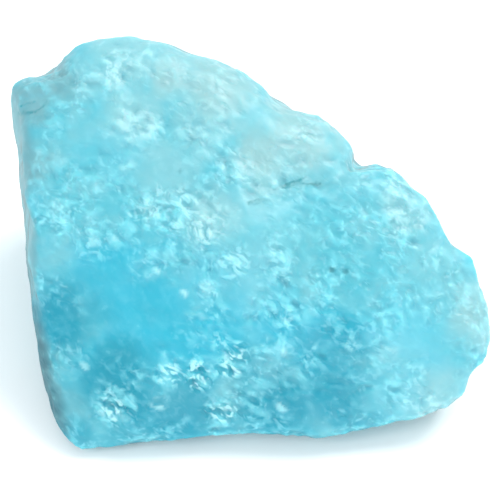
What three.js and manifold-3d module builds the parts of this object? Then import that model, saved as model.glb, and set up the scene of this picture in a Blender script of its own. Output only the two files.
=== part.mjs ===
// A raw aquamarine: one rough, unworked lump of beryl about 52 mm across, broken out of its vein.
// It rests on one flat broken face, and its broad, chipped face slopes up and back from the front edge.
// Millimetres, +Z up, +X right, +Y back; the origin is the middle of the stone's box, on the resting plane.
//
// Two frames are used. The resting frame (x, y, z) is the stone as it lies. The face frame (u, v, w) is
// square on to the broad face: u to the right, v up the slope, w straight out of the face. Both are
// measured from the middle of the girdle, the line round the stone where the broad face turns over.
import * as THREE from "three";
import { ImprovedNoise } from "three/addons/math/ImprovedNoise.js";
import { mergeVertices } from "three/addons/utils/BufferGeometryUtils.js";
import Module from "manifold-3d";

// ---- driving dimensions, in millimetres and degrees ----

const faceLean = 52; // how far above the horizon the broad face looks
const undersideLift = 2; // how far the girdle's lowest point stands above the resting plane
const heart = [0, 0, -7]; // the point that all surfaces are measured from, in the face frame
const proportions = [26, 19, 15]; // half sizes that spread the surface points evenly
const meshDetail = 21; // subdivisions of the icosahedron that the stone is shaped from
const edgeRounding = 0.35; // radius by which neighbouring facets melt together

// The girdle in the face frame, [u, v], going clockwise from the block on the upper left corner.
const girdle = [
  [-26.4, 17.6], [-25.2, 18.5], [-21.9, 18.4], [-21.1, 19.9], [-18.0, 22.7], [-12.4, 22.8],
  [-9.1, 22.0], [-7.0, 20.8], [-3.8, 20.1], [-2.5, 19.8], [1.6, 17.3], [2.9, 15.5],
  [4.2, 15.0], [5.9, 14.6], [8.4, 14.0], [10.2, 12.4], [11.8, 11.2], [12.3, 8.9],
  [13.2, 8.7], [16.3, 7.7], [17.5, 6.3], [19.2, 5.1], [22.1, -0.1], [23.7, -0.9],
  [24.4, -1.5], [24.9, -4.4], [26.1, -7.7], [25.7, -12.5], [24.0, -13.9], [23.3, -16.5],
  [7.7, -21.1], [5.3, -20.6], [-17.0, -22.4], [-18.4, -22.9], [-20.9, -20.2], [-23.3, -9.9],
  [-24.6, -1.5], [-25.0, 4.0], [-25.3, 9.0],
];
const girdleBlur = 24; // half degrees over which the girdle's notches even out away from it
const notchFade = 5; // height over which they do so
const girdleCalm = 0.75; // share of the roughness that is left out where the girdle turns over
const girdleBand = 1.5; // half height of that turn

// How the girdle rises and falls off its own plane: it dips on the left, where a low wall shows.
const girdleTilt = 1.8;
const girdleDip = 0.6;
const girdleWave = 0.7;

// How much the side walls lean in for each millimetre above or below the girdle.
const leanAbove = 0.75;
const leanAboveOnLeft = 0.2;
const leanBelow = 0.2;

// Facets of the broad face: a point on each and the way it faces, in the face frame.
const faceFacets = [
  { through: [-14, 10, 3.6], facing: [-0.12, 0.16, 1] }, // upper left field
  { through: [-3, 12, 3.6], facing: [0.06, 0.3, 1] }, // upper middle
  { through: [-12, -8, 4.0], facing: [-0.14, -0.22, 1] }, // lower left
  { through: [2, -8, 4.6], facing: [0.03, -0.3, 1] }, // lower middle
  { through: [14, -3, 4.1], facing: [0.22, 0.06, 1] }, // right lobe
  { through: [18, -13, 3.9], facing: [0.3, -0.36, 1] }, // lower right
  { through: [0, -20.6, 1.4], facing: [0.02, -1, 0.75] }, // bevel along the foot
  { through: [-10, 21.0, 2.2], facing: [-0.2, 0.9, 1] }, // roll-over of the top lobe
];

// Facets of the sides, back and underside: the same, in the resting frame.
const bodyFacets = [
  { through: [-12, 19.8, 13.9], facing: [-0.16, 1, 0.12] }, // back wall
  { through: [12, 10.5, 5.5], facing: [0.62, 0.8, 0.12] }, // right part of the back
  { through: [-26.6, 14.0, 6.0], facing: [-0.78, 0.62, -0.1] }, // back left corner
  { through: [-2, 16, -8], facing: [0.12, 0.82, -0.52] }, // undercut of the back
  { through: [24.6, -7, -9.5], facing: [0.82, 0.1, -0.5] }, // undercut of the right end
  { through: [-24, -6, -11.5], facing: [-0.84, -0.1, -0.5] }, // undercut of the left end
  { through: [0, -17, -15.4], facing: [0.05, -0.66, -0.75] }, // undercut of the front edge
  { through: [19, 6, -10], facing: [0.5, 0.62, -0.6] }, // lower right corner of the back
];

// Ledges of the broad face, along paths of [u, v]. On the right of its path, in the path's own
// direction, the surface drops by this much, and it comes back up as it runs away from the path.
const ledges = [
  {
    // the step between the upper lobe and the right lobe
    path: [[12.9, 8.6], [10.7, 6.8], [5.9, 6.9], [3.0, 6.0], [1.2, 4.7], [-2.2, 3.9]],
    dropAtStart: 2.1,
    dropAtEnd: 0,
    reach: 4.5,
  },
  {
    // the edge of the small block on the upper left corner
    path: [[-26.2, 14.3], [-24.3, 14.3], [-23.0, 14.8], [-22.2, 15.9], [-21.6, 18.9]],
    dropAtStart: 0.9,
    dropAtEnd: 1.2,
    reach: 2.6,
  },
];

// Shallow hollows scooped out of the broad face: where, how wide and how deep.
const hollows = [
  { at: [-8, -5], radius: 7, depth: 0.7 },
  { at: [-18, -7], radius: 4.5, depth: 0.8 },
  { at: [4, -14], radius: 5, depth: 0.6 },
  { at: [-17, 8], radius: 5, depth: 0.5 },
  { at: [15, 3], radius: 4, depth: 0.45 },
];

// Roughness of the broken surface: swells, lumps and tilted chips, each with its width and height.
const swell = { width: 9, height: 1.1 };
const lump = { width: 3.6, height: 0.45 };
const chip = { width: 3.6, height: 0.42, sharpness: 8, scatter: 0.45 };

// ---- frames ----

const lean = THREE.MathUtils.degToRad(faceLean);
const [sinLean, cosLean] = [Math.sin(lean), Math.cos(lean)];

function toResting([u, v, w]) {
  return new THREE.Vector3(u, v * sinLean - w * cosLean, v * cosLean + w * sinLean);
}

function toFace({ x, y, z }) {
  return new THREE.Vector3(x, y * sinLean + z * cosLean, z * sinLean - y * cosLean);
}

const heartInFace = new THREE.Vector3(...heart);
const heartAtRest = toResting(heart);
const lowestGirdle = Math.min(...girdle.map(([, v]) => v)) * cosLean;
const restingHeight = lowestGirdle - undersideLift;

// ---- the girdle and the side walls ----

const girdleSteps = 720; // one for each half degree
const girdlePoints = new THREE.CatmullRomCurve3(
  girdle.map(([u, v]) => new THREE.Vector3(u, v, 0)),
  true,
  "centripetal",
).getPoints(girdle.length * 8);

// How far out a ray from the axis leaves the closed run of girdle points.
function girdleAlong(angle) {
  const ray = new THREE.Vector2(Math.cos(angle), Math.sin(angle));
  let farthest = 0;
  girdlePoints.forEach((a, i) => {
    const b = girdlePoints[(i + 1) % girdlePoints.length];
    const sideOfA = ray.x * a.y - ray.y * a.x;
    const sideOfB = ray.x * b.y - ray.y * b.x;
    if (sideOfA * sideOfB > 0 || sideOfA === sideOfB) return;
    const crossing = a.clone().lerp(b, sideOfA / (sideOfA - sideOfB));
    farthest = Math.max(farthest, ray.x * crossing.x + ray.y * crossing.y);
  });
  return farthest;
}

const sharpGirdle = Array.from({ length: girdleSteps }, (_, i) =>
  girdleAlong((2 * Math.PI * i) / girdleSteps),
);
const blurredGirdle = sharpGirdle.map((_, i) => {
  let sum = 0;
  for (let k = -girdleBlur; k <= girdleBlur; k++) {
    sum += sharpGirdle[(i + k + girdleSteps) % girdleSteps];
  }
  return sum / (2 * girdleBlur + 1);
});

function radiusAt(radii, angle) {
  const place = (angle / (2 * Math.PI) + 1) * girdleSteps;
  const before = Math.floor(place);
  return THREE.MathUtils.lerp(
    radii[before % girdleSteps],
    radii[(before + 1) % girdleSteps],
    place - before,
  );
}

function girdleHeight(angle) {
  return girdleTilt * Math.cos(angle) - girdleDip + girdleWave * Math.sin(3 * angle + 1);
}

// The wall's distance from the axis, at its widest on the girdle.
function wallRadius(angle, w) {
  const off = w - girdleHeight(angle);
  const leftness = THREE.MathUtils.smoothstep(-Math.cos(angle), 0.75, 0.95);
  const leanIn = off > 0 ? THREE.MathUtils.lerp(leanAbove, leanAboveOnLeft, leftness) : leanBelow;
  const evened = 1 - Math.exp(-Math.abs(off) / notchFade);
  const radius = THREE.MathUtils.lerp(radiusAt(sharpGirdle, angle), radiusAt(blurredGirdle, angle), evened);
  return radius - leanIn * Math.abs(off);
}

// How far from the heart a direction meets the wall, found by halving.
function reachOfWall(direction) {
  const across = Math.hypot(direction.x, direction.y);
  const angle = Math.atan2(direction.y, direction.x);
  let inside = 0;
  let outside = 60;
  while (outside - inside > 1e-6) {
    const middle = (inside + outside) / 2;
    if (middle * across < wallRadius(angle, heartInFace.z + middle * direction.z)) inside = middle;
    else outside = middle;
  }
  return inside;
}

// ---- the facets ----

function plane(normal, through) {
  return { normal, reach: normal.dot(through.sub(heartInFace)) };
}

const facets = [
  ...faceFacets.map(({ through, facing }) =>
    plane(new THREE.Vector3(...facing).normalize(), new THREE.Vector3(...through)),
  ),
  ...bodyFacets.map(({ through, facing }) =>
    plane(toFace(new THREE.Vector3(...facing).normalize()), toFace(new THREE.Vector3(...through))),
  ),
];

function reachOfFacet({ normal, reach }, direction) {
  const towards = normal.dot(direction);
  return towards > 1e-3 ? reach / towards : Infinity;
}

// The least of the distances, with a soft change from one to the next.
function softLeast(distances) {
  const least = Math.min(...distances);
  const sum = distances.reduce((total, distance) => total + Math.exp((least - distance) / edgeRounding), 0);
  return least - edgeRounding * Math.log(sum);
}

// ---- the roughness ----

const noise = new ImprovedNoise();

function noiseAt(p, { width, height }, offset) {
  return height * noise.noise(p.x / width + offset, p.y / width, p.z / width);
}

// A repeatable number from -1 to 1 for one cell of space.
function random(i, j, k, salt) {
  const wave = Math.sin(i * 127.1 + j * 311.7 + k * 74.7 + salt * 53.3) * 43758.5453;
  return 2 * (wave - Math.floor(wave)) - 1;
}

// Space is split into irregular cells, each with its own tilted plane, as chips leave on broken stone.
// Near a border the planes of the cells on both sides blend, so the surface has no jumps.
function chipHeight(p) {
  const place = p.clone().divideScalar(chip.width);
  const cell = place.clone().floor();
  let weights = 0;
  let height = 0;
  for (let i = cell.x - 1; i <= cell.x + 1; i++) {
    for (let j = cell.y - 1; j <= cell.y + 1; j++) {
      for (let k = cell.z - 1; k <= cell.z + 1; k++) {
        const shift = new THREE.Vector3(random(i, j, k, 1), random(i, j, k, 2), random(i, j, k, 3));
        const middle = new THREE.Vector3(i + 0.5, j + 0.5, k + 0.5).addScaledVector(shift, chip.scatter);
        const away = place.clone().sub(middle);
        const tilt = new THREE.Vector3(random(i, j, k, 4), random(i, j, k, 5), random(i, j, k, 6));
        const weight = Math.exp(-chip.sharpness * away.lengthSq());
        weights += weight;
        height += weight * (away.dot(tilt) + random(i, j, k, 7) / 2);
      }
    }
  }
  return (chip.height * height) / weights;
}

function roughnessAt(p) {
  return noiseAt(p, swell, 0) + noiseAt(p, lump, 9) + chipHeight(p);
}

// ---- ledges and hollows ----

// How far a point is from a path, on which side of it, and the share of the path passed there.
function besidePath(path, u, v) {
  let nearest = { distance: Infinity };
  path.slice(1).forEach(([endU, endV], i) => {
    const [startU, startV] = path[i];
    const [du, dv] = [endU - startU, endV - startV];
    const share = ((u - startU) * du + (v - startV) * dv) / (du * du + dv * dv);
    const along = THREE.MathUtils.clamp(share, 0, 1);
    const distance = Math.hypot(u - startU - along * du, v - startV - along * dv);
    if (distance < nearest.distance) {
      const onRight = du * (v - startV) - dv * (u - startU) < 0;
      nearest = { distance, onRight, passed: (i + along) / (path.length - 1) };
    }
  });
  return nearest;
}

function ledgeDepth({ path, dropAtStart, dropAtEnd, reach }, u, v) {
  const { distance, onRight, passed } = besidePath(path, u, v);
  return onRight ? THREE.MathUtils.lerp(dropAtStart, dropAtEnd, passed) * Math.exp(-distance / reach) : 0;
}

function hollowDepth({ at, radius, depth }, u, v) {
  const share = Math.min(Math.hypot(u - at[0], v - at[1]) / radius, 1);
  return depth * (1 - share * share) ** 2;
}

function carvedDepth(u, v) {
  const ledgesHere = ledges.reduce((sum, ledge) => sum + ledgeDepth(ledge, u, v), 0);
  return hollows.reduce((sum, hollow) => sum + hollowDepth(hollow, u, v), ledgesHere);
}

// ---- the stone ----

// The surface point in one direction from the heart, in the resting frame.
function surfacePoint(direction) {
  const inFace = toFace(direction);
  const wall = reachOfWall(inFace);
  const smooth = softLeast([wall, ...facets.map((facet) => reachOfFacet(facet, inFace))]);
  const at = heartInFace.clone().addScaledVector(inFace, smooth);
  const offGirdle = (at.z - girdleHeight(Math.atan2(at.y, at.x))) / girdleBand;
  const onWall = THREE.MathUtils.smoothstep(smooth / wall, 0.9, 1);
  const calm = girdleCalm * Math.exp(-offGirdle * offGirdle) * onWall;
  const onBroadFace = THREE.MathUtils.smoothstep(inFace.z, 0.1, 0.35);
  const reach = smooth + roughnessAt(at) * (1 - calm) - carvedDepth(at.x, at.y) * onBroadFace;
  return heartAtRest.clone().addScaledVector(direction, reach);
}

function mergedPositions(geometry) {
  const bare = geometry.clone();
  bare.deleteAttribute("normal");
  bare.deleteAttribute("uv");
  return mergeVertices(bare, 1e-4);
}

function roughStone() {
  const shape = mergedPositions(new THREE.IcosahedronGeometry(1, meshDetail));
  const places = shape.attributes.position;
  const spread = new THREE.Vector3(...proportions);
  for (let i = 0; i < places.count; i++) {
    const direction = new THREE.Vector3().fromBufferAttribute(places, i).multiply(spread).normalize();
    places.setXYZ(i, ...surfacePoint(direction));
  }
  return shape;
}

// ---- the cut along the resting plane ----

const wasm = await Module();
wasm.setup();

function solidOf(geometry) {
  const merged = mergedPositions(geometry);
  return new wasm.Manifold(
    new wasm.Mesh({
      numProp: 3,
      vertProperties: new Float32Array(merged.attributes.position.array),
      triVerts: new Uint32Array(merged.index.array),
    }),
  );
}

function geometryOf(solid) {
  const mesh = solid.getMesh();
  const geometry = new THREE.BufferGeometry();
  geometry.setAttribute("position", new THREE.BufferAttribute(mesh.vertProperties.slice(), 3));
  geometry.setIndex(new THREE.BufferAttribute(mesh.triVerts.slice(), 1));
  return geometry;
}

// Everything under the resting plane is taken away, which leaves the flat broken face underneath.
function cutFlat(shape) {
  const [across, thick] = [200, 50];
  const below = new THREE.BoxGeometry(across, across, thick);
  below.translate(0, 0, restingHeight - thick / 2);
  return geometryOf(solidOf(shape).subtract(solidOf(below)));
}

// Moves the stone so that its box is centred on X and Y and stands on Z = 0.
function standOnOrigin(shape) {
  shape.computeBoundingBox();
  const middle = shape.boundingBox.getCenter(new THREE.Vector3());
  shape.translate(-middle.x, -middle.y, -shape.boundingBox.min.z);
  shape.computeVertexNormals();
  return shape;
}

const aquamarine = new THREE.Mesh(
  standOnOrigin(cutFlat(roughStone())),
  new THREE.MeshStandardMaterial({ color: "#7fd6e6", roughness: 0.35, metalness: 0 }),
);
aquamarine.name = "aquamarine";

const group = new THREE.Group();
group.add(aquamarine);

export default group;
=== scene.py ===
import math

import bmesh
import bpy
from mathutils import Matrix, Vector


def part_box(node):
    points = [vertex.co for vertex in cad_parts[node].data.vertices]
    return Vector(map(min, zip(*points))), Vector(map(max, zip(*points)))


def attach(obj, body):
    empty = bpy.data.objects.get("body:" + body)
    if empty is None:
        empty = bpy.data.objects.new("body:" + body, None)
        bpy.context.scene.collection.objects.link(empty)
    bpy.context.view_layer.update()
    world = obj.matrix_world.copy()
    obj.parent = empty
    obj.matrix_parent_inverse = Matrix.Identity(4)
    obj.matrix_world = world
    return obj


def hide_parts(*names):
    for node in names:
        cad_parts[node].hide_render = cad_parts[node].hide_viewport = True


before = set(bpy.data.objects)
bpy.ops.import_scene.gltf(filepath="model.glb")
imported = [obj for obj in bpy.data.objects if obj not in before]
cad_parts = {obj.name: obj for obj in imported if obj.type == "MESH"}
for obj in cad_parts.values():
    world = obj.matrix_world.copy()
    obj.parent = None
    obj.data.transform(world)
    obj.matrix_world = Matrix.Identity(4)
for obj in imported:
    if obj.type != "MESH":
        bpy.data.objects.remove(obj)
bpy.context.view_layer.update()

mm = 0.001
print("frame loaded:", sorted(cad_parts))

# The broad face has a frame of its own, in millimetres: u to the right, v up its slope, w straight out.
face = {
    "lean": math.radians(52),  # how far above the horizon the broad face looks
    "middle": Vector((0.04, -2.85, 16.10)) * mm,  # the middle of the outline, seen square on
}
faceTilt = face["lean"] - math.pi / 2  # turn about X from the row's frame into the face's


def placeOnFace(u, v, w=0.0):
    return face["middle"] + Matrix.Rotation(-faceTilt, 3, "X") @ (Vector((u, v, w)) * mm)


# Helpers for node trees: a number, colour or socket may stand for any value.
def addNode(tree, kind, values=None, **settings):
    node = tree.nodes.new(kind)
    for name, value in settings.items():
        setattr(node, name, value)
    for key, value in (values or {}).items():
        if isinstance(value, bpy.types.NodeSocket):
            tree.links.new(value, node.inputs[key])
        else:
            node.inputs[key].default_value = value
    return node


def calc(tree, operation, *values):
    return addNode(tree, "ShaderNodeMath", dict(enumerate(values)), operation=operation).outputs[0]


def vectorCalc(tree, operation, *values):
    return addNode(tree, "ShaderNodeVectorMath", dict(enumerate(values)), operation=operation).outputs[0]


# The same, for operations on vectors that give one number.
def vectorToNumber(tree, operation, *values):
    node = addNode(tree, "ShaderNodeVectorMath", dict(enumerate(values)), operation=operation)
    return node.outputs["Value"]


def scaleVector(tree, vector, factor):
    return addNode(tree, "ShaderNodeVectorMath", {0: vector, "Scale": factor}, operation="SCALE").outputs[0]


def splitVector(tree, vector):
    return addNode(tree, "ShaderNodeSeparateXYZ", {0: vector}).outputs


def turnVector(tree, vector, angle, axis="Z"):
    values = {"Vector": vector, "Angle": angle}
    return addNode(tree, "ShaderNodeVectorRotate", values, rotation_type=axis + "_AXIS").outputs[0]


def remap(tree, value, fromLow, fromHigh, toLow=0.0, toHigh=1.0):
    ends = {"Value": value, "From Min": fromLow, "From Max": fromHigh, "To Min": toLow, "To Max": toHigh}
    return addNode(tree, "ShaderNodeMapRange", ends, interpolation_type="SMOOTHSTEP").outputs["Result"]


def noiseNode(tree, place, size, detail):
    scale = calc(tree, "DIVIDE", 1.0, size) if isinstance(size, bpy.types.NodeSocket) else 1.0 / size
    return addNode(tree, "ShaderNodeTexNoise", {"Vector": place, "Scale": scale, "Detail": detail})


def noise(tree, place, size, detail=2.0):
    return noiseNode(tree, place, size, detail).outputs[0]


def noiseVector(tree, place, size, detail=2.0):
    return noiseNode(tree, place, size, detail).outputs[1]


def mixColours(tree, share, a, b):
    return addNode(tree, "ShaderNodeMix", {0: share, 6: a, 7: b}, data_type="RGBA").outputs[2]


# A place in space, turned into the broad face's frame and measured in millimetres.
def intoFace(tree, place):
    offMiddle = vectorCalc(tree, "SUBTRACT", place, face["middle"])
    return scaleVector(tree, turnVector(tree, offMiddle, faceTilt, "X"), 1 / mm)


def flatten(tree, inFace):
    return vectorCalc(tree, "MULTIPLY", inFace, (1, 1, 0))


# The round fields below are laid on the broad face. Each is u, v, radius and, if it isn't full, its strength.
fieldBorder = {
    "gone": 1.3, "full": 0.35,  # where a field ends and where it is full, in radii
    "waveSize": 4.0,  # size of the waves in the border, mm
    "unevenness": 0.35,  # how strong they are
}


# How much a place belongs to any of the fields, with a soft and uneven border.
def fieldShare(tree, inFace, fields, unevenness=fieldBorder["unevenness"]):
    flat = flatten(tree, inFace)
    waves = calc(tree, "SUBTRACT", noise(tree, inFace, fieldBorder["waveSize"]), 0.5)
    share = 0.0
    for u, v, radius, *strength in fields:
        away = vectorToNumber(tree, "DISTANCE", flat, (u, v, 0))
        stray = 4 * unevenness * radius  # the waves are about a quarter high
        uneven = calc(tree, "MULTIPLY_ADD", waves, stray, away)
        ends = fieldBorder["gone"] * radius, fieldBorder["full"] * radius
        share = calc(tree, "MAXIMUM", share, remap(tree, uneven, *ends, 0.0, *strength))
    return share


# What the break left on the surface: the inputs of the node tree. Sizes in millimetres.
surface = {
    "melting": 40,  # smoothing passes on the broad face, away from the ledge
    "growth": 0.05,  # how far the surface stands out again after that
    "plateWidth": 4.6, "plateHeight": 0.28, "plateBorder": 0.30,
    "flakeWidth": 1.6, "flakeHeight": 0.52, "flakeBorder": 0.42,
    "sugarWidth": 0.92, "sugarHeight": 0.38,
    "crackWidth": 0.34, "crackDepth": 0.07, "crackWobble": 1.0,
    "calmShare": 0.20,  # what is left of the roughness on the calm, glassy fields
    "restHeight": 0.6,  # height over which the roughness fades out towards the flat underside
}

# Cracks and the foot of the ledge, as runs of (u, v).
crackPaths = [
    [(2.5, 5.9), (3.5, 6.3), (4.2, 6.5), (5.3, 6.85), (5.8, 7.3)],
    [(5.1, 6.8), (6.2, 6.4), (7.4, 6.6)],
    [(-0.3, 4.4), (0.8, 4.7), (1.7, 4.8)],
    [(-25.3, 14.2), (-24.4, 14.3), (-23.3, 14.5), (-22.6, 14.9), (-22.2, 15.6)],
    [(-24.9, 15.1), (-23.4, 15.4)],
]
# Where the surface is calmer, and where it's more broken than elsewhere.
calmFields = [
    (-18.5, 10.5, 4.0, 0.8), (-8.5, -6.5, 4.5, 0.95), (-23.5, 15.6, 2.2), (-20.8, 16.6, 1.8, 0.85),
    (-16.0, -6.0, 5.5, 0.95), (-20.0, -8.0, 3.0), (-11.6, -16.2, 1.5, 0.8), (-6.2, -17.2, 1.4, 0.8),
    (-7.0, 17.0, 8.5, 0.5), (3.0, 11.0, 6.5, 0.4), (-10.0, 9.0, 6.0, 0.45), (-5.0, 12.0, 4.0, 0.3),
    (-11.8, -11.6, 1.8, 0.8), (12.0, -16.0, 3.0, 0.45), (4.8, -15.5, 5.0, 0.6), (20.5, -12.0, 3.0, 0.3),
    (9.5, -12.0, 4.5, 0.4),
]
brokenFields = [
    (-15.0, -17.4, 3.0), (-8.8, -13.8, 2.4), (-2.5, -12.8, 3.0), (-2.8, -18.2, 2.6), (12.5, -9.5, 3.5, 0.75),
    (-6.0, 1.5, 6.0), (-5.0, 10.5, 7.5, 0.6), (16.0, 2.0, 3.2), (6.0, -4.0, 5.0, 0.85), (5.0, 12.0, 4.0, 0.6),
    (-19.5, 2.5, 4.2), (-14.0, 13.5, 3.5), (6.0, 2.5, 4.0, 0.85), (-7.0, 18.0, 4.0, 0.8), (20.0, -3.0, 3.0),
    (24.0, -8.0, 3.0), (14.5, 6.3, 3.2), (-15.0, 18.5, 3.6, 0.7), (18.0, -15.0, 3.0, 0.6),
    (19.5, 2.5, 2.8, 0.7), (22.5, -0.5, 2.6, 0.6),
]
# Where the coarse shape is melted whatever way it faces.
meltedFields = [(-20.2, 17.2, 2.8)]
# Where freshly broken faces glitter most.
glitterFields = [
    (-14.9, -17.8, 2.1), (-8.8, -13.8, 1.9), (-5.7, -14.3, 1.5), (-1.7, -12.8, 2.1), (-2.9, -18.0, 2.0, 0.9),
    (-3.2, -10.6, 1.4, 0.6), (-4.8, -5.2, 1.6, 0.6), (10.2, -10.0, 1.5, 0.35), (6.0, -13.6, 1.5, 0.4),
    (-10.8, 4.2, 2.2, 0.75), (-7.6, 3.2, 2.8, 0.7), (-4.6, 1.4, 2.6, 0.65), (-2.2, -2.0, 2.4, 0.65),
    (3.4, -7.4, 1.8, 0.5), (-11.0, 12.2, 2.4, 0.35), (-6.0, 11.3, 2.2, 0.25), (-14.8, 17.6, 2.6, 0.3),
    (-20.5, 3.2, 2.6, 0.5), (-17.0, 0.8, 2.4, 0.45), (-19.5, 7.0, 1.8, 0.4), (2.6, -2.2, 2.0, 0.45),
    (15.4, 6.4, 1.8, 0.35), (15.6, 2.0, 2.4, 0.25), (7.6, -4.4, 2.2, 0.4), (14.4, -11.4, 1.6, 0.25),
]

# Where the stone's body is paler, deeper, darker, brighter, frosted, milky, pitted, greyer or in shade.
# Painted light, shade and glints are among them, as noted at each kind.
# A later kind covers the ones before it.
colourFields = {
    # pale: partly the stone's own zoning, partly painted light, lighter towards the top and the right where
    # the key lamp falls
    "pale": [
        (-4.0, 17.5, 6.5), (-13.0, 20.5, 5.5), (-17.5, 18.0, 3.0, 0.7), (5.5, 13.0, 6.0, 0.9),
        (1.0, 8.0, 4.5), (11.0, 9.5, 4.0, 0.5), (17.5, 4.5, 4.5, 0.9), (25.0, -8.0, 4.5, 0.7),
        (21.0, -17.0, 4.5), (21.0, -6.0, 4.0, 0.35), (1.0, 0.0, 5.0, 0.35), (20.0, -2.0, 3.5, 0.5),
        (-13.0, 14.0, 4.0), (-4.0, 3.0, 4.0), (-9.5, 8.5, 4.5, 0.7), (-5.0, 12.5, 4.0, 0.8),
    ],
    "deep": [
        (-10.0, -9.0, 9.0, 0.8), (-15.0, -5.0, 6.5, 0.7), (-4.0, -9.0, 5.5, 0.8), (8.5, -10.5, 5.0, 0.85),
        (2.5, -9.0, 4.0, 0.8),
    ],
    # painted shade: the body darker along the bottom and the lower left, away from the key lamp
    "dim": [
        (-20.5, -7.8, 4.4), (-14.0, -15.0, 5.0), (-8.0, -19.0, 5.5), (3.0, -17.5, 5.5), (9.0, -16.5, 4.0),
        (0.0, -13.5, 3.0, 0.6), (9.5, -11.5, 4.8, 0.7), (-13.0, -20.8, 3.0, 0.7), (-20.6, -17.0, 2.4, 0.35),
        (-3.0, -20.4, 3.0, 0.7), (5.0, -20.2, 3.0, 0.7), (12.0, -19.6, 2.6, 0.6), (-19.6, -20.6, 2.6, 0.7),
    ],
    "bright": [
        (18.0, -9.5, 5.2, 0.9), (16.0, -14.5, 4.0, 0.6), (-4.5, -3.0, 4.5, 0.7), (-15.0, 9.0, 4.0, 0.5),
        (0.5, -5.0, 4.0, 0.5),
    ],
    "frosted": [
        (-3.5, 17.0, 3.8), (5.5, 12.0, 4.2), (-8.5, 18.3, 2.6), (1.5, 10.0, 3.0), (25.0, -8.0, 4.0, 0.7),
    ],
    # milky: small white spots, partly milky stone and partly painted glints where the broken face sparkles
    "milky": [
        (-15.2, 18.6, 1.7, 0.7), (-11.4, 20.4, 1.4, 0.5), (-13.4, 13.4, 1.3, 0.6), (-10.8, 12.2, 1.0, 0.8),
        (-20.8, 9.4, 1.0, 0.3), (-13.4, 8.4, 0.9, 0.5), (-10.9, 4.2, 1.3, 0.9), (-7.2, 3.5, 0.9, 0.7),
        (-4.1, 1.4, 1.0, 0.8), (-2.0, -2.0, 1.1, 0.7), (-4.9, -5.0, 0.9, 0.7), (-16.4, 6.4, 0.8, 0.6),
        (-21.3, 4.2, 0.8, 0.6), (-17.0, 0.4, 0.7, 0.6), (10.8, -11.0, 0.8, 0.5), (14.9, -11.8, 1.2, 0.6),
        (-1.7, -17.0, 0.7, 0.7), (3.6, -7.6, 0.8, 0.5), (14.8, 5.8, 1.2, 0.5), (-9.9, -2.8, 0.7, 0.9),
        (-7.2, -5.3, 0.7, 1.0), (-14.5, 0.7, 0.6, 0.8), (-18.1, -13.3, 0.55, 0.6), (-9.7, -17.1, 0.9, 0.8),
        (3.4, -17.6, 0.7, 0.7), (3.7, -11.5, 0.7, 0.8),
    ],
    "pits": [(8.8, -2.7, 0.42, 0.8), (10.3, -2.9, 0.32, 0.7), (-7.6, 7.9, 0.3, 0.5)],
    # grey: greyer on the left side and the corner, partly painted shade where they look away from the key
    # lamp
    "grey": [
        (-23.8, 16.0, 3.2, 0.8), (-21.2, 17.3, 2.6, 0.8), (-24.5, 9.0, 3.0, 0.8), (-20.6, -17.5, 2.4, 0.3),
    ],
    "shaded": [
        (-24.1, -7.6, 1.5, 0.6), (-23.8, -9.4, 1.6, 0.8), (-23.5, -11.2, 1.7), (-23.1, -13.0, 1.7),
        (-22.8, -14.8, 1.7), (-22.4, -16.5, 1.8), (-22.0, -18.2, 1.9), (-21.3, -19.8, 1.7, 0.7),
    ],
}
oddBorders = {"shaded": 0.1, "milky": 0.6}  # how uneven a kind's borders are, where that isn't the usual
fieldDepth = (-9.0, -4.0)  # w at which a field is gone, and at which it is full

# Where the surface is lively by itself, and the clusters inside the broken fields.
# Sizes in mm, then the ends of the noise and of what it gives.
patches = {"size": 5.0, "noiseEnds": (0.38, 0.60), "ends": (0.25, 0.95)}
clusters = {"size": 2.4, "detail": 1.5, "noiseEnds": (0.42, 0.58), "ends": (0.45, 1.0)}


# How rough a place is, from glassy calm to freshly broken.
def liveliness(tree, inFace, calmShare):
    wander = remap(tree, noise(tree, inFace, patches["size"]), *patches["noiseEnds"], *patches["ends"])
    crowded = noise(tree, inFace, clusters["size"], clusters["detail"])
    crowded = remap(tree, crowded, *clusters["noiseEnds"], *clusters["ends"])
    broken = calc(tree, "MULTIPLY", fieldShare(tree, inFace, brokenFields), crowded)
    quiet = calc(tree, "SUBTRACT", 1.0, calmShare)
    calm = calc(tree, "MULTIPLY", fieldShare(tree, inFace, calmFields), quiet)
    lively = calc(tree, "MAXIMUM", wander, broken)
    return calc(tree, "MULTIPLY", lively, calc(tree, "SUBTRACT", 1.0, calm))


# How the small faces lie: drawn out, turned (radians), each kind in a place of its own, with bent borders.
layout = {
    "plate": {"stretch": (1.3, 1, 1), "turn": 0.4, "seed": 3.1, "bend": 0.5, "bendDetail": 0.0},
    "flake": {"stretch": (1.5, 1, 1), "turn": 0.55, "seed": 7.7, "bend": 0.5, "bendDetail": 0.0},
    "chip": {"stretch": (1.5, 1, 1), "turn": 0.55, "seed": 2.9, "bend": 0.8, "bendDetail": 0.5},
}
bendSize = 0.7  # size of the bends in a border, in cells
seedWays = (1.0, 0.7, 1.3)
bruisedGlintPick = (0.62, 0.28)  # which of the cells' random numbers stand for a bruised face, painted pale as a glint where it tilts towards the key lamp's side, from none to fully
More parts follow.
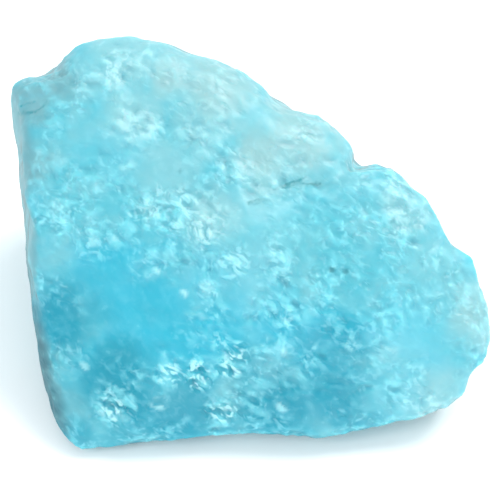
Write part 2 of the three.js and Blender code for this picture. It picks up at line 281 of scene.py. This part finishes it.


# Space is split into cells, and each gets its own tilted plane that fades out at the cell's border:
# the flat little faces, ridges and steps that chips leave on broken stone.
# The second value says which faces are bruised and painted pale as glints, those tilted towards the key
# lamp's side.
def tiltedFaces(tree, inFace, width, height, border, stretch, turn, seed, bend, bendDetail):
    moved = vectorCalc(tree, "ADD", turnVector(tree, inFace, turn), [seed * way for way in seedWays])
    stretched = vectorCalc(tree, "DIVIDE", moved, stretch)
    shrunk = scaleVector(tree, stretched, calc(tree, "DIVIDE", 1.0, width))
    bends = scaleVector(tree, noiseVector(tree, shrunk, bendSize, bendDetail), bend)
    bent = {"Vector": vectorCalc(tree, "ADD", shrunk, bends), "Scale": 1.0}
    cells = addNode(tree, "ShaderNodeTexVoronoi", bent, feature="F1").outputs
    toBorder = addNode(tree, "ShaderNodeTexVoronoi", bent, feature="DISTANCE_TO_EDGE").outputs["Distance"]
    away = vectorCalc(tree, "SUBTRACT", bent["Vector"], cells["Position"])
    tilt = vectorCalc(tree, "SUBTRACT", cells["Color"], (0.5, 0.5, 0.5))
    slope = calc(tree, "MULTIPLY", vectorToNumber(tree, "DOT_PRODUCT", away, tilt), 2.0)
    inner = remap(tree, toBorder, 0.0, border)
    picked = remap(tree, splitVector(tree, cells["Color"])["X"], *bruisedGlintPick)
    bruisedGlint = calc(tree, "MULTIPLY", picked, inner)
    return calc(tree, "MULTIPLY", calc(tree, "MULTIPLY", slope, inner), height), bruisedGlint


grains = {"turn": 0.7, "waveSize": 2.5, "waveDetail": 1.0, "bend": 1.4}  # radians, and mm for the rest


# Small, rounded grains drawn out along one way, like melting sugar.
def sugarCrust(tree, inFace, width, stretch, detail):
    drawnOut = vectorCalc(tree, "DIVIDE", turnVector(tree, inFace, grains["turn"]), (stretch, 1, 1))
    waves = noiseVector(tree, inFace, grains["waveSize"], grains["waveDetail"])
    bent = vectorCalc(tree, "ADD", drawnOut, scaleVector(tree, waves, grains["bend"]))
    return calc(tree, "SUBTRACT", noise(tree, bent, width, detail), 0.5)


# Where one thing fades into another, as the ends of what is measured.
fades = {
    "towardsFace": (0.15, 0.6),  # how far a place looks the broad face's way, before it melts fully
    "front": (0.0, 0.3),  # and before cracks show
    "ledge": (0.3, 1.6),  # distance from the cracks at which the ledge ends, mm
    "leftWall": (-0.45, -0.85),  # how far a place looks left
    "under": (0.0, -0.6),  # and down
    "raised": (-0.02, 0.20), "sunk": (0.02, -0.20),  # height of the fine roughness, mm, where high points get painted light and hollows painted shade
    "milkyGrains": (-0.06, 0.08),
}
ledgeMelts = 0.45  # how much the ledge still melts
wallCalms = 0.6  # how much calmer the left wall is
underShade = 0.6
milkyBetween = 0.1  # how milky it stays between the grains
glitterRoughens = 0.45
glitterUnevenness = 0.55
wobbleSize, wobbleDetail = 0.8, 1.5  # how the cracks wander, mm
crustStretch, crustDetail = 1.55, 0.8


def addSockets(tree):
    kinds = {name: "Int" if isinstance(value, int) else "Float" for name, value in surface.items()}
    kinds.update(lowCorner="Vector", highCorner="Vector", crackPaths="Object", skin="Material")
    for way in ("INPUT", "OUTPUT"):
        tree.interface.new_socket("Geometry", in_out=way, socket_type="NodeSocketGeometry")
    for name, kind in kinds.items():
        tree.interface.new_socket(name, in_out="INPUT", socket_type="NodeSocket" + kind)


# Melts the coarse facets together, as far as the share says.
def meltFacets(tree, given, position, share):
    soft = addNode(tree, "GeometryNodeBlurAttribute", {"Iterations": given["melting"], "Weight": share},
                   data_type="FLOAT_VECTOR")
    vectorIn = next(socket for socket in soft.inputs if socket.type == "VECTOR")
    vectorOut = next(socket for socket in soft.outputs if socket.type == "VECTOR")
    tree.links.new(position, vectorIn)
    melted = {"Geometry": given["Geometry"], "Position": vectorOut}
    return addNode(tree, "GeometryNodeSetPosition", melted).outputs[0]


# Height of the broken surface over the melted one, and of its fine part alone, in mm.
def roughness(tree, inFace, given, crust, lively, glitter):
    def layer(name):
        sizes = [given[name + part] for part in ("Width", "Height", "Border")]
        return tiltedFaces(tree, inFace, *sizes, **layout[name])[0]

    strength = calc(tree, "MULTIPLY_ADD", glitter, glitterRoughens, lively)
    flaky = calc(tree, "MULTIPLY_ADD", crust, given["sugarHeight"], layer("flake"))
    fine = calc(tree, "MULTIPLY", flaky, strength)
    return calc(tree, "ADD", calc(tree, "ADD", layer("plate"), fine), given["growth"]), fine


# Moves the surface out by its height, but not at the flat underside, and keeps it in the solid's box.
def raiseSurface(tree, given, base, position, normal, height):
    aboveFloor = calc(tree, "DIVIDE", splitVector(tree, position)["Z"], mm)
    height = calc(tree, "MULTIPLY", height, remap(tree, aboveFloor, 0.0, given["restHeight"]))
    outward = {"Geometry": base, "Offset": scaleVector(tree, normal, calc(tree, "MULTIPLY", height, mm))}
    raised = addNode(tree, "GeometryNodeSetPosition", outward).outputs[0]
    place = addNode(tree, "GeometryNodeInputPosition").outputs[0]
    aboveLow = vectorCalc(tree, "MAXIMUM", place, given["lowCorner"])
    inBox = vectorCalc(tree, "MINIMUM", aboveLow, given["highCorner"])
    return addNode(tree, "GeometryNodeSetPosition", {"Geometry": raised, "Position": inBox}).outputs[0]


# How much each kind of colour field holds at a place.
def fieldShares(tree, inFace, crust, under):
    nearFace = remap(tree, splitVector(tree, inFace)["Z"], *fieldDepth)
    shares = {}
    for name, fields in colourFields.items():
        unevenness = oddBorders.get(name, fieldBorder["unevenness"])
        shares[name] = calc(tree, "MULTIPLY", fieldShare(tree, inFace, fields, unevenness), nearFace)
    shares["shaded"] = calc(tree, "MAXIMUM", shares["shaded"], under)
    onGrains = remap(tree, crust, *fades["milkyGrains"], milkyBetween, 1.0)
    shares["milky"] = calc(tree, "MULTIPLY", shares["milky"], onGrains)
    return shares


def storeShares(tree, geometry, shares):
    for name, value in shares.items():
        values = {"Geometry": geometry, "Name": name, "Value": value}
        stored = addNode(tree, "GeometryNodeStoreNamedAttribute", values, data_type="FLOAT", domain="POINT")
        geometry = stored.outputs[0]
    return geometry


def brokenSurfaceTree():
    tree = bpy.data.node_groups.new("brokenSurface", "GeometryNodeTree")
    addSockets(tree)
    given = addNode(tree, "NodeGroupInput").outputs
    position = addNode(tree, "GeometryNodeInputPosition").outputs[0]
    normal = addNode(tree, "GeometryNodeInputNormal").outputs[0]
    inFace = intoFace(tree, position)

    lines = addNode(tree, "GeometryNodeObjectInfo", {"Object": given["crackPaths"]}).outputs["Geometry"]
    wobble = noiseVector(tree, inFace, wobbleSize, wobbleDetail)
    wobble = vectorCalc(tree, "SUBTRACT", wobble, (0.5, 0.5, 0.5))
    jagged = vectorCalc(tree, "ADD", inFace, scaleVector(tree, wobble, given["crackWobble"]))
    nearest = {0: lines, "Sample Position": flatten(tree, jagged)}
    crackAway = addNode(tree, "GeometryNodeProximity", nearest, target_element="EDGES").outputs["Distance"]

    outOfFace = (placeOnFace(0, 0, 1) - face["middle"]).normalized()
    facing = vectorToNumber(tree, "DOT_PRODUCT", normal, outOfFace)
    offLedge = remap(tree, crackAway, *fades["ledge"], ledgeMelts, 1.0)
    broad = calc(tree, "MULTIPLY", remap(tree, facing, *fades["towardsFace"]), offLedge)
    broad = calc(tree, "MAXIMUM", broad, fieldShare(tree, inFace, meltedFields))
    base = meltFacets(tree, given, position, broad)

    looks = splitVector(tree, normal)
    leftWall = remap(tree, looks["X"], *fades["leftWall"])
    under = remap(tree, looks["Z"], *fades["under"], 0.0, underShade)
    calmWall = calc(tree, "MULTIPLY_ADD", leftWall, -wallCalms, 1.0)
    lively = calc(tree, "MULTIPLY", liveliness(tree, inFace, given["calmShare"]), calmWall)
    glitter = fieldShare(tree, inFace, glitterFields, glitterUnevenness)
    crust = sugarCrust(tree, inFace, given["sugarWidth"], crustStretch, crustDetail)
    relief, fine = roughness(tree, inFace, given, crust, lively, glitter)
    onFront = remap(tree, facing, *fades["front"])
    crack = calc(tree, "MULTIPLY", remap(tree, crackAway, given["crackWidth"], 0.0), onFront)
    height = calc(tree, "SUBTRACT", relief, calc(tree, "MULTIPLY", crack, given["crackDepth"]))
    finished = raiseSurface(tree, given, base, position, normal, height)

    finished = storeShares(tree, finished, {
        "crackAway": calc(tree, "ADD", crackAway, calc(tree, "SUBTRACT", 1.0, onFront)),
        "broken": lively, "glitter": glitter, "crust": crust, "leftWall": leftWall,
        "raised": remap(tree, fine, *fades["raised"]), "sunk": remap(tree, fine, *fades["sunk"]),
        **fieldShares(tree, inFace, crust, under),
    })
    real = addNode(tree, "GeometryNodeRealizeInstances", {0: finished}).outputs[0]
    skinned = addNode(tree, "GeometryNodeSetMaterial", {"Geometry": real, "Material": given["skin"]})
    addNode(tree, "NodeGroupOutput", {0: skinned.outputs[0]})
    return tree


def crackLines():
    mesh = bpy.data.meshes.new("crackLines")
    points, edges = [], []
    for path in crackPaths:
        edges += [(len(points) + i, len(points) + i + 1) for i in range(len(path) - 1)]
        points += [(u, v, 0.0) for u, v in path]
    mesh.from_pydata(points, edges, [])
    lines = bpy.data.objects.new("crackLines", mesh)
    bpy.context.scene.collection.objects.link(lines)
    return lines


def fillInputs(modifier, values):
    for item in modifier.node_group.interface.items_tree:
        if item.in_out == "INPUT" and item.name in values:
            modifier[item.identifier] = values[item.name]


# The stone starts as a finer skin over the coarse solid.
fineSkin = {
    "weldGap": 0.001,  # mm
    "gridSize": 0.285,  # spacing of the fine mesh, mm
    "settling": 5, "settlingStrength": 0.5,  # smoothing passes that take the steps out of the grid
}


def makeStone(skin):
    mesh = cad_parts["aquamarine"].data.copy()
    mesh.materials.clear()
    work = bmesh.new()
    work.from_mesh(mesh)
    bmesh.ops.remove_doubles(work, verts=work.verts, dist=fineSkin["weldGap"] * mm)
    work.to_mesh(mesh)
    work.free()
    stone = bpy.data.objects.new("aquamarineStone", mesh)
    bpy.context.scene.collection.objects.link(stone)

    finer = stone.modifiers.new("finer", "REMESH")
    finer.mode = "VOXEL"
    finer.voxel_size = fineSkin["gridSize"] * mm
    settled = stone.modifiers.new("settled", "SMOOTH")
    settled.factor = fineSkin["settlingStrength"]
    settled.iterations = fineSkin["settling"]
    broken = stone.modifiers.new("broken", "NODES")
    broken.node_group = brokenSurfaceTree()
    lines = crackLines()
    low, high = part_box("aquamarine")
    fillInputs(broken, {**surface, "lowCorner": low, "highCorner": high, "crackPaths": lines, "skin": skin})

    view = bpy.context.evaluated_depsgraph_get()
    finished = bpy.data.meshes.new_from_object(stone.evaluated_get(view))
    stone.modifiers.clear()
    stone.data = finished
    bpy.data.objects.remove(lines)
    for polygon in finished.polygons:
        polygon.use_smooth = True
    return stone


# The look of the stone: cloudy blue beryl. Sizes in millimetres.
# Some of these colours paint light and shade: the paler top in part, the dark bottom, the grey left side in
# part, pale high points, dark hollows, white chips and spots as glints, and the dark rim.
beryl = {
    "body": (0.096, 0.448, 0.530, 1),
    "pale": (0.240, 0.520, 0.562, 1),
    "deep": (0.006, 0.425, 0.565, 1),
    "dim": (0.005, 0.302, 0.406, 1),
    "bright": (0.125, 0.505, 0.600, 1),
    "frosted": (0.280, 0.500, 0.520, 1),
    "milky": (0.420, 0.720, 0.745, 1),
    "pits": (0.030, 0.200, 0.240, 1),
    "grey": (0.165, 0.352, 0.388, 1),
    "shaded": (0.012, 0.130, 0.170, 1),
    "raised": (0.270, 0.580, 0.620, 1),
    "crumbs": (0.200, 0.630, 0.700, 1),
    "frostedCrumbs": (0.420, 0.690, 0.720, 1),
    "sunk": (0.016, 0.290, 0.385, 1),
    "crack": (0.045, 0.300, 0.345, 1),
    "edge": (0.020, 0.130, 0.155, 1),
    "bruisedGlint": (0.340, 0.790, 0.855, 1),
    "frostedBruisedGlints": (0.500, 0.780, 0.795, 1),
    "glint": (0.520, 0.850, 0.870, 1),
    "clouds": {"size": 3.6, "detail": 4.0, "ends": (0.35, 0.68), "share": 0.36},
    "faintClouds": {"size": 1.8, "detail": 3.0, "ends": (0.42, 0.70), "share": 0.20},
    "greyWall": 0.8, "paleRaised": 0.3,  # how strongly the left wall is grey, partly painted shade, and raised spots pale, painted light
    "crumbGrains": (-0.02, 0.17),  # which grains show as crumbs
    "crumbEnds": (0.30, 1.25), "crumbShares": (0.10, 0.66),  # and how much, from calm to glittering
    "loneGrains": (0.16, 0.23), "loneShare": 0.3,  # the highest grains show everywhere
    "sunkShadeShare": 0.25, "sunkShadeGlitter": 0.3,
    "glintEnds": (0.35, 0.90), "glintShare": 0.85,  # where it glitters, the bruised chips are whiter still, a painted glint
    "crackHalf": 0.28, "crackCore": 0.04,  # where a crack's colour ends, and where it's full
    "crackPatches": {"size": 1.1, "noiseEnds": (0.40, 0.60), "ends": (0.3, 0.9)},
    "edgeEnds": (0.72, 0.95), "edgeShare": 0.85,
    "sheenCalm": 0.42, "sheenBroken": 0.34, "sheenGlitter": 0.285,  # roughness
    "shine": 0.27,
    "refraction": 1.577,
    "clearShare": 0.12,  # share of light that passes clear through
    "scatter": (0.35, 0.85, 1.0), "scatterDepth": 3.0,
    "absorbs": (0.20, 0.96, 0.985, 1), "absorption": 120.0,  # per metre
}
# The finest faces of the surface, and the splinters of the glittering spots. Sizes in millimetres.
fineFaces = {
    "chipWidth": 0.95, "chipDepth": 0.29, "chipBorder": 0.48,
    "splinterWidth": 0.62, "splinterDepth": 0.8, "splinterStretch": 1.4, "splinterDetail": 1.1,
    "bruisedGlintShare": 0.25, "bruisedGlintInGlitter": 0.35,  # how white the bruised chips are, partly painted glints
    "crushedGlint": (-0.05, 0.13), "crushedGlintShare": 0.9,  # which splinters are crushed white, a painted glint where it glitters, and how much
    "soft": (-0.02, 0.20), "softShare": 0.26,  # soft pale flecks
    "rare": (0.10, 0.20), "rareShare": 0.45, "rareGlitter": (0.3, 1.0),  # rare and bright ones, painted sparkle
}


# Chips wherever the stone is broken, and splinters among them where it glitters.
# The second value is how white they are: bruised and crushed chips, partly painted glints.
def fineChips(tree, inFace, broken, glitter):
    sizes = [fineFaces["chip" + part] for part in ("Width", "Depth", "Border")]
    chips, bruisedGlint = tiltedFaces(tree, inFace, *sizes, **layout["chip"])
    splinters = [fineFaces["splinter" + part] for part in ("Width", "Stretch", "Detail")]
    splinters = sugarCrust(tree, inFace, *splinters)
    strength = remap(tree, broken, 0.1, 1.0, 0.1, 1.0)
    deep = calc(tree, "MULTIPLY", splinters, calc(tree, "MULTIPLY", glitter, fineFaces["splinterDepth"]))
    bump = {"Height": calc(tree, "MULTIPLY_ADD", chips, strength, deep), "Distance": mm}

    def flecks(kind):
        return remap(tree, splinters, *fineFaces[kind], 0.0, fineFaces[kind + "Share"])

    whiter = calc(tree, "MULTIPLY_ADD", glitter, fineFaces["bruisedGlintInGlitter"], fineFaces["bruisedGlintShare"])
    bruisedGlint = calc(tree, "MULTIPLY", calc(tree, "MULTIPLY", bruisedGlint, strength), whiter)
    crushedGlint = calc(tree, "MULTIPLY", flecks("crushedGlint"), glitter)
    rare = calc(tree, "MULTIPLY", flecks("rare"), remap(tree, glitter, 0.0, 0.5, *fineFaces["rareGlitter"]))
    scattered = calc(tree, "MULTIPLY", calc(tree, "ADD", flecks("soft"), rare), strength)
    white = calc(tree, "MAXIMUM", calc(tree, "MAXIMUM", bruisedGlint, crushedGlint), scattered)
    return addNode(tree, "ShaderNodeBump", bump).outputs[0], white


def berylMaterial():
    material = bpy.data.materials.new("berylSkin")
    material.use_nodes = True
    tree = material.node_tree
    tree.nodes.clear()
    inFace = intoFace(tree, addNode(tree, "ShaderNodeTexCoord").outputs["Object"])

    def share(name):
        return addNode(tree, "ShaderNodeAttribute", attribute_name=name).outputs["Fac"]

    def cloudy(colour, clouds):
        drift = noise(tree, inFace, clouds["size"], clouds["detail"])
        drift = remap(tree, drift, *clouds["ends"], 0.0, clouds["share"])
        return mixColours(tree, drift, colour, beryl["pale"])

    glitter = share("glitter")
    chipNormal, bruisedGlints = fineChips(tree, inFace, share("broken"), glitter)

    colour = cloudy(beryl["body"], beryl["clouds"])
    # The left wall greyer and darker, partly painted shade where it looks away from the key lamp.
    greyed = calc(tree, "MULTIPLY", share("leftWall"), beryl["greyWall"])
    colour = mixColours(tree, greyed, colour, beryl["grey"])
    colour = cloudy(colour, beryl["faintClouds"])
    for name in colourFields:
        colour = mixColours(tree, share(name), colour, beryl[name])
    # Painted light and shade: high points of the fine roughness paler, hollows darker.
    raised = calc(tree, "MULTIPLY", share("raised"), beryl["paleRaised"])
    colour = mixColours(tree, raised, colour, beryl["raised"])

    crumbly = calc(tree, "ADD", share("broken"), glitter)
    crumbly = remap(tree, crumbly, *beryl["crumbEnds"], *beryl["crumbShares"])
    crumbs = calc(tree, "MULTIPLY", remap(tree, share("crust"), *beryl["crumbGrains"]), crumbly)
    lone = remap(tree, share("crust"), *beryl["loneGrains"], 0.0, beryl["loneShare"])
    crumbColour = mixColours(tree, share("pale"), beryl["crumbs"], beryl["frostedCrumbs"])
    colour = mixColours(tree, calc(tree, "MAXIMUM", crumbs, lone), colour, crumbColour)
    hollowShade = calc(tree, "MULTIPLY_ADD", glitter, beryl["sunkShadeGlitter"], beryl["sunkShadeShare"])
    colour = mixColours(tree, calc(tree, "MULTIPLY", share("sunk"), hollowShade), colour, beryl["sunk"])

    # Bruised chips whiten towards a painted glint colour where it glitters.
    white = mixColours(tree, share("pale"), beryl["bruisedGlint"], beryl["frostedBruisedGlints"])
    glints = remap(tree, glitter, *beryl["glintEnds"], 0.0, beryl["glintShare"])
    colour = mixColours(tree, bruisedGlints, colour, mixColours(tree, glints, white, beryl["glint"]))
    patchy = noise(tree, inFace, beryl["crackPatches"]["size"])
    patchy = remap(tree, patchy, *beryl["crackPatches"]["noiseEnds"], *beryl["crackPatches"]["ends"])
    inCrack = remap(tree, share("crackAway"), beryl["crackHalf"], beryl["crackCore"])
    colour = mixColours(tree, calc(tree, "MULTIPLY", inCrack, patchy), colour, beryl["crack"])
    # A painted dark rim: the colour darkens where the surface turns edge-on to the view.
    away = addNode(tree, "ShaderNodeLayerWeight", {"Blend": 0.5}).outputs["Facing"]
    darkRim = remap(tree, away, *beryl["edgeEnds"], 0.0, beryl["edgeShare"])
    colour = mixColours(tree, darkRim, colour, beryl["edge"])

    sheen = remap(tree, share("broken"), 0.0, 1.0, beryl["sheenCalm"], beryl["sheenBroken"])
    glossy = calc(tree, "MULTIPLY", glitter, beryl["sheenBroken"] - beryl["sheenGlitter"])
    shader = addNode(tree, "ShaderNodeBsdfPrincipled", {
        "Base Color": colour,
        "Roughness": calc(tree, "SUBTRACT", sheen, glossy),
        "IOR": beryl["refraction"],
        "Specular IOR Level": beryl["shine"],
        "Subsurface Weight": 1.0,
        "Subsurface Radius": beryl["scatter"],
        "Subsurface Scale": beryl["scatterDepth"] * mm,
        "Transmission Weight": beryl["clearShare"],
        "Normal": chipNormal,
    })
    absorbs = {"Color": beryl["absorbs"], "Density": beryl["absorption"]}
    inside = addNode(tree, "ShaderNodeVolumeAbsorption", absorbs)
    addNode(tree, "ShaderNodeOutputMaterial", {"Surface": shader.outputs[0], "Volume": inside.outputs[0]})
    return material


stone = makeStone(berylMaterial())
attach(stone, "root")
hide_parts("aquamarine")
triangles = sum(len(polygon.vertices) - 2 for polygon in stone.data.polygons)
print("stone:", len(stone.data.vertices), "points,", triangles, "triangles")

# The studio and the camera, in metres unless a note says otherwise.
floorLook = {"size": 3.0, "colour": (1.0, 1.0, 1.0, 1), "roughness": 0.9}
skyLook = {"colour": (0.87, 0.96, 1.0, 1), "strength": 0.96}
lamps = {
    "key": {"at": (0.30, 0.20, 0.62), "size": 0.42, "watts": 3.9, "colour": (1.0, 0.98, 0.95)},
    "front": {"at": (0.12, -0.77, 0.16), "size": 0.50, "watts": 2.1, "colour": (1.0, 1.0, 1.0)},
    "left": {"at": (-0.44, -0.34, 0.52), "size": 0.26, "watts": 1.2, "colour": (0.98, 0.99, 1.0)},
}
lampsAimAt = Vector((0, 0, 0.01))
camera = {
    "sensor": 36.0,  # mm
    "distance": 0.6,
    "sees": (0.05, 10.0),  # nearest and farthest
    "pictureWidth": 54.4,  # what the picture takes in at the stone, mm
    "aim": (-0.05, -0.60),  # the middle of the picture on the face, mm
}


def makeFloor():
    side = floorLook["size"] / 2
    mesh = bpy.data.meshes.new("paleFloor")
    corners = [(-side, -side, 0), (side, -side, 0), (side, side, 0), (-side, side, 0)]
    mesh.from_pydata(corners, [], [(0, 1, 2, 3)])
    material = bpy.data.materials.new("palePaper")
    material.use_nodes = True
    shader = material.node_tree.nodes["Principled BSDF"]
    shader.inputs["Base Color"].default_value = floorLook["colour"]
    shader.inputs["Roughness"].default_value = floorLook["roughness"]
    mesh.materials.append(material)
    floor = bpy.data.objects.new("paleFloor", mesh)
    bpy.context.scene.collection.objects.link(floor)


def makeLamps():
    for name, facts in lamps.items():
        light = bpy.data.lights.new(name, "AREA")
        light.shape = "DISK"
        light.size = facts["size"]
        light.energy = facts["watts"]
        light.color = facts["colour"]
        lamp = bpy.data.objects.new(name, light)
        lamp.location = facts["at"]
        lamp.rotation_euler = (lampsAimAt - lamp.location).to_track_quat("-Z", "Y").to_euler()
        bpy.context.scene.collection.objects.link(lamp)


def makeSky():
    world = bpy.data.worlds.new("softRoom")
    world.use_nodes = True
    sky = world.node_tree.nodes["Background"]
    sky.inputs["Color"].default_value = skyLook["colour"]
    sky.inputs["Strength"].default_value = skyLook["strength"]
    bpy.context.scene.world = world


def makeCamera():
    lens = bpy.data.cameras.new("camera")
    lens.sensor_width = camera["sensor"]
    lens.lens = camera["sensor"] * camera["distance"] / (camera["pictureWidth"] * mm)
    lens.clip_start, lens.clip_end = camera["sees"]
    eye = bpy.data.objects.new("camera", lens)
    eye.location = placeOnFace(*camera["aim"], camera["distance"] / mm)
    eye.rotation_euler = (-faceTilt, 0, 0)
    bpy.context.scene.collection.objects.link(eye)
    bpy.context.scene.camera = eye


makeFloor()
makeLamps()
makeSky()
makeCamera()
bpy.context.scene.view_settings.view_transform = "Standard"
print("studio ready")
